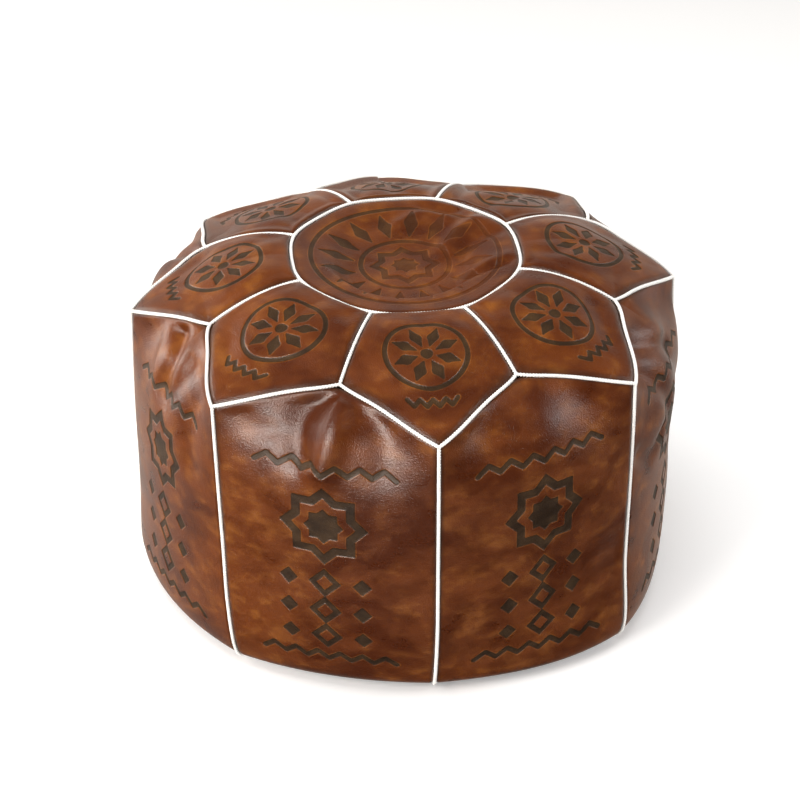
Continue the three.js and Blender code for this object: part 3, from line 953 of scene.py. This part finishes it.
PETAL_CREASES = [
    [([(34, 24), (26, 40), (34, 60)], 12, 1.5)],
    [([(-40, 20), (-28, 34), (-30, 56)], 12, 2.0), ([(50, 80), (34, 100), (20, 118)], 14, 2.0)],
    [([(-20, 14), (-24, 34), (-12, 50)], 10, 2.5)],
    [([(0, 16), (10, 34), (0, 56)], 11, 2.5)],
    [([(-24, 16), (-8, 30), (-10, 50)], 11, 2.5), ([(36, 22), (30, 44), (38, 64)], 12, 2.5)],
    [([(18, 16), (10, 36), (22, 60)], 12, 2.5)],
    [([(-34, 26), (-24, 44), (-34, 66)], 12, 2.0), ([(-50, 96), (-24, 108), (0, 104)], 13, 2.0)],
    [([(34, 20), (28, 36), (36, 50)], 11, 2.0), ([(-30, 112), (0, 118), (24, 108)], 13, 1.6)],
]


def creases(specs, x, y):
    """The relief of several creases together."""
    return sum(crease(x, y, *spec) for spec in specs)


PETAL_FULLNESS = (0, 0, 0, -9, -7, -4, 0, 0)  # some at the back and left are less full
DISC_BOWL = 12.0  # depth of the sunk seat
BOWL_MIDDLE = (-2, -2)
BOWL_REACH = (70, 76)
DISC_DIP = 2.0
DISC_CREASES = [
    ([(44, -52), (70, -36), (102, -22)], 4.5, 3.4),
    ([(50, -36), (76, -24), (96, -14)], 8, -1.6),
    ([(2, 66), (24, 76), (46, 66)], 8, -3.6),
    ([(40, 22), (56, 42), (84, 60)], 9, -4.4),
    ([(52, 6), (76, 30), (98, 34)], 8, 3.6),
    ([(30, 92), (52, 78), (66, 84)], 8, 3.0),
    ([(-52, 30), (-40, 56), (-16, 72)], 14, 2.0),
]


def disc_relief(x, y):
    """The hollow left by sitting, with a crisp near rim, and the creases that run from it."""
    share = np.hypot(x, y) / RING[0]
    from_middle = x - BOWL_MIDDLE[0], y - BOWL_MIDDLE[1]
    around = np.arctan2(from_middle[1], from_middle[0])
    reach = np.hypot(from_middle[0] / BOWL_REACH[0], from_middle[1] / BOWL_REACH[1])
    near = np.clip(0.35 - np.sin(around + 0.12), 0, 1) ** 0.8
    bowl = 1 - smoothstep(reach, lerp(0.30, 0.84, near), lerp(1.35, 1.04, near))
    return creases(DISC_CREASES, x, y) - DISC_DIP * (1 - share ** 2) - DISC_BOWL * bowl


# ---- panels

PITCH = 1.25
SEAM_GAP = 0.3  # a leather edge stops this far from its seam line, under the cord
PETAL_SLOPE = 1.05  # length of a petal's leather over its length in plan
# A panel's gap to a slanted seam over its gap along the panel: at the gables, and at the outer
# seams of a petal, on its middle line and at its sides.
GABLE_SLANT = 0.93
PETAL_SLANT = (0.71, 0.39)


def pattern(shape, x, y):
    """The signed distance of a motif over a grid of pattern points."""
    return shape(np.stack([x.ravel(), y.ravel()], 1)).reshape(x.shape)


def sew(node, kind, index, azimuth, lines, points, seams, ink, relief, wear=0.0):
    """One leather panel, in place of its CAD node."""
    moved = swelling(kind, index, *lines)
    piece = leather_piece(node + "_leather", points, moved, seams, ink, relief, azimuth, LEATHER_TOP, wear)
    attach(piece, "leather", node)


def side_panels():
    """The eight gabled panels, alike but for their creases."""
    across_lines = (2 * graded(SIDE_WIDTH, PITCH) - 1) * (1 - 2 * SEAM_GAP / SIDE_WIDTH)
    up_lines = lerp(0.001, 0.999, graded(SIDE_LENGTH, PITCH))
    across, up = np.meshgrid(across_lines, up_lines)
    points = side_face(across, up)
    length = lerp(MIDDLE_LINE.length, SEAM_LINE.length, across ** 2)
    radius = np.hypot(points[..., 0], points[..., 1])
    x = across * HALF * WAIST
    y = up * length
    seams = [(1 - np.abs(across)) * HALF * radius, y, (1 - up) * length * GABLE_SLANT]
    ink = pattern(side_motif, x, y)
    lines = (across_lines, up_lines)
    for index in range(SIDES):
        node = f"side_panel_{index + 1}"
        relief = creases(SIDE_CREASES[index], x, y)
        sew(node, "side", index, (2 * index + 1) * HALF, lines, points, seams, ink, relief)


def petals():
    """The eight petals, alike but for their creases and their fullness."""
    across_lines = (2 * graded(PETAL_WIDTH, PITCH) - 1) * (1 - 2 * SEAM_GAP / PETAL_WIDTH)
    out_lines = lerp(0.998, 0.003, graded(PETAL_LENGTH, PITCH))
    across, out = np.meshgrid(across_lines, out_lines)
    points = petal_face(across, out)
    radius = np.hypot(points[..., 0], points[..., 1])
    length = PETAL_SLOPE * (gable_at(1 - np.abs(across))[0] - RING[0])
    slant = lerp(*PETAL_SLANT, np.abs(across))
    seams = [(1 - np.abs(across)) * HALF * radius, out * length, (1 - out) * length * slant]
    x = points[..., 0]
    y = PETAL_SLOPE * (-points[..., 1] - RING[0])
    ink = pattern(petal_motif, x, y)
    lines = (across_lines, out_lines)
    for index in range(SIDES):
        node = f"petal_{index + 1}"
        relief = creases(PETAL_CREASES[index], x, y) + PETAL_FULLNESS[index]
        sew(node, "petal", index, 2 * index * HALF, lines, points, seams, ink, relief)


def disc_face(across, up):
    """The top disc as a square grid drawn out to a circle: across -1 to 1, up 0 to 1."""
    down = 2 * up - 1
    round_x = across * np.sqrt(1 - down ** 2 / 2)
    round_y = down * np.sqrt(1 - across ** 2 / 2)
    radius = ring_radius(np.arctan2(round_x, -round_y))
    return np.stack([round_x * radius, round_y * radius, RING[1] + 0 * round_x], -1)


def top_disc():
    """The disc, with its print worn off towards the right and near side."""
    up_lines = graded(2 * RING[0], PITCH)
    across_lines = 2 * up_lines - 1
    across, up = np.meshgrid(across_lines, up_lines)
    points = disc_face(across, up) * [0.997, 0.997, 1]
    x, y = points[..., 0], points[..., 1]
    seams = [np.maximum(ring_radius(np.arctan2(x, -y)) - SEAM_GAP - np.hypot(x, y), 0)]
    ink = pattern(disc_motif, x, y)
    wear = lerp(0.12, 0.78, smoothstep(x - 0.4 * y, -65, 60))
    sew("top_disc", "disc", 0, 0.0, (across_lines, up_lines), points, seams, ink, disc_relief(x, y), wear)


# ---- cords


def resample(points, step, closed):
    """The same path with even steps."""
    points = np.asarray(points, float)
    if closed:
        points = np.vstack([points, points[:1]])
    along = np.concatenate([[0], np.cumsum(np.linalg.norm(np.diff(points, axis=0), axis=1))])
    count = max(2, round(along[-1] / step))
    at = np.linspace(0, along[-1], count + 1)
    if closed:
        at = at[:-1]
    return np.stack([np.interp(at, along, points[:, axis]) for axis in range(3)], 1), along[-1]


STRANDS = 2
TWIST_PITCH = 5.6
TWIST_DEPTH = 0.19  # share of the radius by which a strand stands out
ROPE_STEP = 0.5
WELT_STEP = 1.2


def tube(name, points, closed, reach, facing, material):
    """A tube round a path, with the given reach at each step and angle, starting across facing."""
    sides = reach.shape[1]
    tangent = np.roll(points, -1, 0) - np.roll(points, 1, 0) if closed else np.gradient(points, axis=0)
    tangent = unit(tangent)
    side = unit(np.cross(tangent, facing))
    over = np.cross(side, tangent)
    angle = full_turn(sides)[None, :, None]
    around = np.cos(angle) * side[:, None] + np.sin(angle) * over[:, None]
    vertices = points[:, None] + reach[..., None] * around
    index = np.arange(len(points) * sides).reshape(len(points), sides)
    faces = quads(index, ring_rows=True, ring_columns=True).tolist() if closed else closed_tube(index)
    return new_object(name, vertices.reshape(-1, 3), faces, material)


def outwards(points):
    """A direction that is never along a seam: out from the axis, and up."""
    return points * [1, 1, 0] + [0, 0, 60]


def rope(name, path, closed):
    """A twisted cord along a path, with closed ends unless it is a ring."""
    points, length = resample(path, ROPE_STEP, closed)
    turns = round(length / TWIST_PITCH) if closed else length / TWIST_PITCH
    along = np.arange(len(points)) / (len(points) if closed else len(points) - 1)
    angle = full_turn(12)
    twist = np.cos(STRANDS * (angle[None] - 2 * math.pi * turns * along[:, None]))
    return tube(name, points, closed, CORD_DRAWN * (0.93 + TWIST_DEPTH * twist), outwards(points), CORD)


def seam_path(azimuth, points):
    """Cord centres: seam points of the even cover, turned, sunk by a set amount and settled."""
    return settle(turned(points - np.array([0, 0, CORD_SINK]), azimuth))


def cord_paths():
    """The centre line of one cord of each kind that repeats, about azimuth 0."""
    share = np.linspace(0, 1, 120)
    side_radius, side_height = SEAM_LINE.at(share)
    across = np.linspace(-1, 1, 160)
    gable_radius, gable_height = gable_at(across)
    radial_radius = np.linspace(ring_radius(HALF), APEX[0], 60)
    radial_height = np.linspace(RING[1], APEX[1], 60)
    return {
        "radial_cord": polar(0 * radial_radius, radial_radius, radial_height),
        "gable_cord": polar(across * HALF, gable_radius, gable_height),
        "side_cord": polar(0 * share, side_radius - CORD_SINK, side_height),
    }


def cords():
    """The cord round the disc, and those along the radial seams, the gables and the sides."""
    turn = full_turn(720)
    ring_path = seam_path(0.0, polar(turn, ring_radius(turn), RING[1] + 0 * turn))
    attach(rope("disc_cord_rope", ring_path, True), "cord", "disc_cord")
    paths = cord_paths()
    for index in range(SIDES):
        tip = 2 * index * HALF
        for kind, path in paths.items():
            azimuth = tip if kind == "side_cord" else tip + HALF
            name = f"{kind}_{index + 1}"
            attach(rope(name + "_rope", seam_path(azimuth, path), False), "cord", name)


# ---- base and zip

TAPE_LOW, TAPE_HIGH = box_mm("zip_tape_back")
COIL_LOW, COIL_HIGH = box_mm("zip_coil_back")
ZIP_HALF = TAPE_HIGH[0]
COIL_CENTRE = (COIL_LOW + COIL_HIGH)[1:] / 2
COIL_HALF = (COIL_HIGH - COIL_LOW)[1:] / 2
ZIP_SLOT_HALF = box_mm("zip_slider")[1][1] + 1
ZIP_HEIGHT = 7.5  # underside of the leather beside the zip
CHANNEL_FLAT = 12  # half the width of the channel's flat middle
CHANNEL_HALF = 44
SLOT_END = (1, 7)  # past the zip's end, the slot closes between these
CLOSED_SLOT_HALF = 0.4
STITCH = 3.2
STITCH_GAP = 1.3
STITCH_RADIUS = 0.4
STITCH_FROM_SLOT = 3.4
FOLD_FROM_SEAM = 4.8  # the fold beside the slot gets the painted seam shadow of leather this far from a seam
BASE_PITCH = 1.6 * PITCH
BASE_HALVES = (("back", 0.0), ("front", math.pi))  # and how far each is turned about Z
COIL_PITCH = 1.5
COIL_WIRE = 0.33  # radius of the nylon
COIL_STEP = 0.3


def floor_height(x, y):
    """The base's underside: a flat sole, a curled rim, and a channel along the zip."""
    radius = np.hypot(x, y)
    rim = floor_seam_radius(np.arctan2(x, -y))
    curl = np.clip((radius - FLOOR_RADIUS) / (rim - FLOOR_RADIUS), 0, 1)
    across = 1 - smoothstep(np.abs(y), CHANNEL_FLAT, CHANNEL_HALF)
    along = 1 - smoothstep(np.abs(x), ZIP_HALF + SLOT_END[1], FLOOR_RADIUS)
    return np.maximum(FLOOR_SEAM[1] * curl ** 2, ZIP_HEIGHT * across * along)


def slot_half(x):
    """Half the width of the gap between the base's two halves."""
    closed = smoothstep(np.abs(x), ZIP_HALF + SLOT_END[0], ZIP_HALF + SLOT_END[1])
    return lerp(ZIP_SLOT_HALF, CLOSED_SLOT_HALF, closed)


def base_panels():
    """Two half-round panels, facing down, that meet along the zip."""
    u, v = np.meshgrid(1 - 2 * graded(2 * WAIST, BASE_PITCH), graded(WAIST, BASE_PITCH))
    round_x = u * np.sqrt(1 - v ** 2 / 2)
    round_y = v * np.sqrt(1 - u ** 2 / 2)
    radius = floor_seam_radius(np.arctan2(round_x, -round_y)) - SEAM_GAP
    x = round_x * radius
    slot = slot_half(x)
    y = slot * (1 - v) + round_y * radius
    points = np.stack([x, y, floor_height(x, y)], -1)
    rim = (1 - np.hypot(round_x, round_y)) * radius
    fold = np.maximum(y - slot, 0)
    pucker = np.sin(70 * np.arctan2(y, x)) * np.sin(23 * np.arctan2(y, x) + 1)
    relief = 0.5 * pucker * np.exp(-((rim - 7) / 7) ** 2)
    relief -= 0.35 * np.exp(-((fold - STITCH_FROM_SLOT) / 0.8) ** 2)
    seams = [rim, fold + FOLD_FROM_SEAM]
    no_ink = np.full_like(x, FAR)
    for name, azimuth in BASE_HALVES:
        title = "base_leather_" + name
        piece = leather_piece(title, points, 0.0, seams, no_ink, relief, azimuth, LEATHER_BASE)
        attach(piece, "base_leather", "base_panel_" + name)
    zip_stitches()


def zip_stitches():
    """Two rows of stitches that hold the zip's tapes."""
    count = round(2 * ZIP_HALF / (STITCH + STITCH_GAP))
    vertices = []
    faces = []
    for side in (-1, 1):
        for step in range(count):
            middle = -ZIP_HALF + (step + 0.5) * 2 * ZIP_HALF / count
            add_stitch(vertices, faces, middle, side * (ZIP_SLOT_HALF + STITCH_FROM_SLOT))
    attach(new_object("zip_stitches", vertices, faces, CORD), "cord")


def add_stitch(vertices, faces, middle, y):
    """One thread lozenge along x, half sunk in the leather."""
    index = len(vertices) + np.arange(24).reshape(4, 6)
    for share, swell in ((-1, 0.3), (-0.6, 1), (0.6, 1), (1, 0.3)):
        radius = STITCH_RADIUS * swell
        for corner in range(6):
            turn = corner * math.pi / 3
            height = ZIP_HEIGHT - 0.1 + radius * math.sin(turn)
            vertices.append((middle + share * STITCH / 2, y + radius * math.cos(turn), height))
    faces += closed_tube(index)


WELT_FROM_SEAM = 5.0  # the welt is coloured like leather this far from a seam: faint painted seam shadow and no print


def base_welt():
    """The plain leather cord in the seam round the base."""
    azimuth = full_turn(720)
    path = polar(azimuth, floor_seam_radius(azimuth), FLOOR_SEAM[1] + CORD_SINK + 0 * azimuth)
    points = resample(settle(path), WELT_STEP, True)[0]
    reach = np.full((len(points), 12), WELT_RADIUS)
    piece = tube("base_welt_leather", points, True, reach, outwards(points), LEATHER_BASE)
    for name in ("ink", "seam"):
        set_attribute(piece, name, np.full(len(piece.data.vertices), WELT_FROM_SEAM))
    attach(piece, "base_leather", "base_welt")


def zip_tapes():
    """Two woven tapes with a slight wave along their free edges."""
    rows = np.linspace(TAPE_LOW[1], TAPE_HIGH[1], 13)
    columns = np.linspace(ZIP_HALF, -ZIP_HALF, 301)
    x, y = np.meshgrid(columns, rows)
    wave = 0.12 * np.sin(0.31 * x) * (y - rows[0]) / (rows[-1] - rows[0])
    low = np.stack([x, y, TAPE_LOW[2] + wave], -1)
    high = np.stack([x, y, TAPE_HIGH[2] + wave], -1)
    for name, azimuth in BASE_HALVES:
        piece = grid_object("zip_tape_woven_" + name, turned(low, azimuth), turned(high, azimuth), 6, TAPE)
        attach(piece, "zip_tape", "zip_tape_" + name)


def zip_coils():
    """A nylon coil along each tape's edge. The two are half a loop apart, so they mesh."""
    loops = round(2 * ZIP_HALF / COIL_PITCH) - 2
    turn = np.linspace(0, 2 * math.pi * loops, 16 * loops)
    x = np.linspace(-ZIP_HALF + COIL_PITCH, ZIP_HALF - COIL_PITCH, len(turn))
    for name, side in (("back", 1), ("front", -1)):
        phase = turn if side > 0 else turn + math.pi
        y = side * (COIL_CENTRE[0] + (COIL_HALF[0] - COIL_WIRE) * np.cos(phase))
        z = COIL_CENTRE[1] + (COIL_HALF[1] - COIL_WIRE) * np.sin(phase)
        points = resample(np.stack([x, y, z], -1), COIL_STEP, False)[0]
        reach = np.full((len(points), 6), COIL_WIRE)
        coil = tube("zip_coil_loops_" + name, points, False, reach, (1, 0, 0), NYLON)
        attach(coil, "zip_coil", "zip_coil_" + name)


def zip_metal():
    """The stops, the slider and its puller keep their CAD shapes, with rubbed edges."""
    for name in ("zip_stop_closed", "zip_stop_open", "zip_slider", "zip_puller"):
        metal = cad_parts[name]
        metal.data.materials.clear()
        metal.data.materials.append(BRASS)
        bevel = metal.modifiers.new("edges", "BEVEL")
        bevel.width = 0.25 * MM
        bevel.segments = 3
        bevel.limit_method = "ANGLE"
        bevel.angle_limit = math.radians(35)
        bevel.harden_normals = True


# ---- inside

INSIDE_TURN = 180  # steps round the bag and the stuffing


def revolved(name, profile, swell, material):
    """A closed form round Z. The profile runs from axis to axis, and swell moves it sideways."""
    azimuth = full_turn(INSIDE_TURN)
    tangent = unit(np.gradient(profile, axis=0))
    push = swell(np.arange(len(profile))[:, None] / len(profile), azimuth[None])
    radius = profile[:, :1] + push * tangent[:, 1:]
    height = profile[:, 1:] - push * tangent[:, :1]
    points = settle(polar(azimuth[None] + 0 * radius, radius, height))
    index = np.arange(points.shape[0] * INSIDE_TURN).reshape(-1, INSIDE_TURN)
    return new_object(name, points.reshape(-1, 3), closed_tube(index), material)


def inside_profile(inset, floor, top_drop):
    """The room inside the cover, from the floor up the side to the axis, inset all round."""
    share = np.linspace(0.06, 0.84, 60)
    radius, height = MIDDLE_LINE.at(share)
    side = np.stack([radius - inset, np.maximum(height, floor)], 1)
    over = [
        (APEX[0] - 18, APEX[1] - inset - top_drop),
        (RING[0], RING[1] - inset - top_drop),
        (RING[0] / 2, RING[1] - inset - top_drop - 5),
        (1, RING[1] - inset - top_drop - 6),
    ]
    path = Meridian([tuple(side[0] - [14, 0]), *map(tuple, side[::4]), *over], 12).points
    return resample(np.stack([path[:, 0], 0 * path[:, 0], path[:, 1]], 1), 5, False)[0][:, [0, 2]]


BAG_INSET = 15
BAG_DROP = 14  # the bag's top lies this much lower than its inset gives
BAG_WALL = 0.8
BAG_MOUTH_RADIUS = 62
STUFFING_INSET = 20
STUFFING_DROP = 16


def underside(radius, floor, wall):
    """A flat underside, from a radius out to the foot of a wall."""
    return lerp(np.array([radius, floor]), wall[0], np.linspace(0, 1, 30)[:, None])[:-1]


def inner_bag():
    """A thin cotton bag with soft creases, open at the mouth above the zip."""
    floor = box_mm("inner_bag")[0][2] + 0.6
    outer = inside_profile(BAG_INSET, floor, BAG_DROP)
    inner = inside_profile(BAG_INSET + BAG_WALL, floor + BAG_WALL, BAG_DROP)
    under_out = underside(BAG_MOUTH_RADIUS, floor, outer)
    under_in = underside(BAG_MOUTH_RADIUS, floor + BAG_WALL, inner)
    wall = np.vstack([inner[::-1], under_in[::-1], under_out, outer])
    half = len(wall) // 2

    def folds(share, azimuth):
        mirrored = np.abs(share - half / len(wall)) * 2
        fold = 0.5 * np.sin(22 * azimuth + 4 * np.sin(9 * mirrored)) * np.sin(31 * mirrored + 2 * azimuth)
        return np.where(share < half / len(wall), -fold, fold) * smoothstep(mirrored, 0.02, 0.1)

    attach(revolved("inner_bag_cloth", wall, folds, BAG), "bag_cloth", "inner_bag")


def stuffing():
    """Loose wadding: lumps of two sizes inside the bag."""
    floor = box_mm("stuffing")[0][2] + 1.5
    wall = inside_profile(STUFFING_INSET, floor, STUFFING_DROP)
    profile = np.vstack([underside(1.0, floor, wall), wall])

    def lumps(share, azimuth):
        large = np.sin(9 * azimuth + 7 * share * math.pi) * np.sin(23 * share + 2 * np.sin(3 * azimuth))
        small = np.sin(31 * azimuth + 5) * np.sin(61 * share + 4 * np.sin(5 * azimuth))
        return 0.9 * large + 0.5 * small - 0.6

    attach(revolved("stuffing_wadding", profile, lumps, WADDING), "stuffing", "stuffing")


# ---- stage, light, camera


def area_light(name, place, aim, size, power, colour=(1, 1, 1)):
    """A soft box at a place in metres, facing its aim."""
    data = bpy.data.lights.new(name, "AREA")
    data.shape = "RECTANGLE"
    data.size, data.size_y = size
    data.energy = power
    data.color = colour
    light = bpy.data.objects.new(name, data)
    light.location = place
    light.rotation_euler = (Vector(aim) - Vector(place)).to_track_quat("-Z", "Y").to_euler()
    bpy.context.scene.collection.objects.link(light)
    return light


FLOOR_HALF = 6000
FLOOR_DROP = 0.5  # the floor lies this far under the pouf


def stage():
    """A pale floor that gives back a little light, and that isn't seen from below or mirrored."""
    shader = Shader("floor_pale")
    shade = shader.mix(shader.noise(3), rgb(0.86, 0.86, 0.86), rgb(0.89, 0.89, 0.89))
    shader.set(shader.surface, {
        "Base Color": shade,
        "Roughness": 0.8,
        "Emission Color": rgb(1, 1, 1),
        "Emission Strength": 0.3,
    })
    clear = shader.node("BsdfTransparent", {})
    from_below = shader.node("NewGeometry", {}, output=6)
    seen = shader.node("MixShader", {0: from_below, 1: shader.surface.outputs[0], 2: clear})
    shader.set(shader.tree.nodes["Material Output"], {"Surface": seen})
    around = ((-1, -1), (1, -1), (1, 1), (-1, 1))
    corners = [(FLOOR_HALF * x, FLOOR_HALF * y, -FLOOR_DROP) for x, y in around]
    floor = new_object("floor", corners, [(0, 1, 2, 3)], shader.material)
    floor.visible_glossy = False


def surround():
    """White to the camera. All else sees a dim, warm surround that is brighter behind."""
    world = bpy.data.worlds.new("studio")
    world.use_nodes = True
    nodes = Nodes(world.node_tree)
    direction = nodes.node("TexCoord", {})
    backwards = nodes.node("SeparateXYZ", {0: direction}, output=1)
    upwards = nodes.node("SeparateXYZ", {0: direction}, output=2)
    low_light = nodes.remap(backwards, 0.1, 0.8, 0.0, 0.8)
    light = nodes.remap(upwards, 0.85, 0.15, 0.14, low_light)
    camera_ray = nodes.node("LightPath", {})
    nodes.set(world.node_tree.nodes["Background"], {
        "Color": nodes.mix(camera_ray, rgb(1, 0.93, 0.84), rgb(1, 1, 1)),
        "Strength": nodes.remap(camera_ray, 0, 1, light, 1),
    })
    bpy.context.scene.world = world


def lighting():
    """Five soft boxes. The sheen one only shows in reflections, and the one above never does."""
    surround()
    area_light("key", (-1.85, -1.5, 1.6), (0, 0, 0.2), (1.2, 1.0), 58, (1.0, 0.95, 0.9))
    sheen = area_light("sheen", (-1.3, -2.12, 1.0), (0, 0, 0.2), (1.3, 0.5), 68, (1.0, 0.93, 0.86))
    sheen.visible_diffuse = False
    area_light("left_back", (-2.1, 1.05, 0.65), (0, 0, 0.25), (1.1, 1.0), 30, (1.0, 0.94, 0.88))
    area_light("right", (2.3, -0.3, 0.9), (0, 0, 0.2), (1.2, 1.0), 24)
    above = area_light("above", (-0.3, -0.4, 2.7), (0, 0, 0), (2.0, 2.0), 52)
    above.visible_glossy = False
    bpy.context.scene.view_settings.view_transform = "Standard"


CAMERA_AZIMUTH = math.radians(-6.4)
CAMERA_ELEVATION = math.radians(31.4)
CAMERA_DISTANCE = 2.193
LENS = 100.3
SENSOR = 36
SHIFT = (-0.0065, 0.0024)
AIM = Vector((0, 0, 0.17))


def camera():
    """A long lens that looks down on the pouf from a little left of its front."""
    data = bpy.data.cameras.new("camera")
    data.lens = LENS
    data.sensor_width = SENSOR
    data.shift_x, data.shift_y = SHIFT
    eye = bpy.data.objects.new("camera", data)
    level = math.cos(CAMERA_ELEVATION)
    away = Vector((
        math.sin(CAMERA_AZIMUTH) * level,
        -math.cos(CAMERA_AZIMUTH) * level,
        math.sin(CAMERA_ELEVATION),
    ))
    eye.location = AIM + CAMERA_DISTANCE * away
    eye.rotation_euler = (-away).to_track_quat("-Z", "Y").to_euler()
    bpy.context.scene.collection.objects.link(eye)
    bpy.context.scene.camera = eye


SWELLINGS = simulate_cover()
side_panels()
petals()
top_disc()
cords()
base_panels()
base_welt()
zip_tapes()
zip_coils()
zip_metal()
inner_bag()
stuffing()
stage()
lighting()
camera()
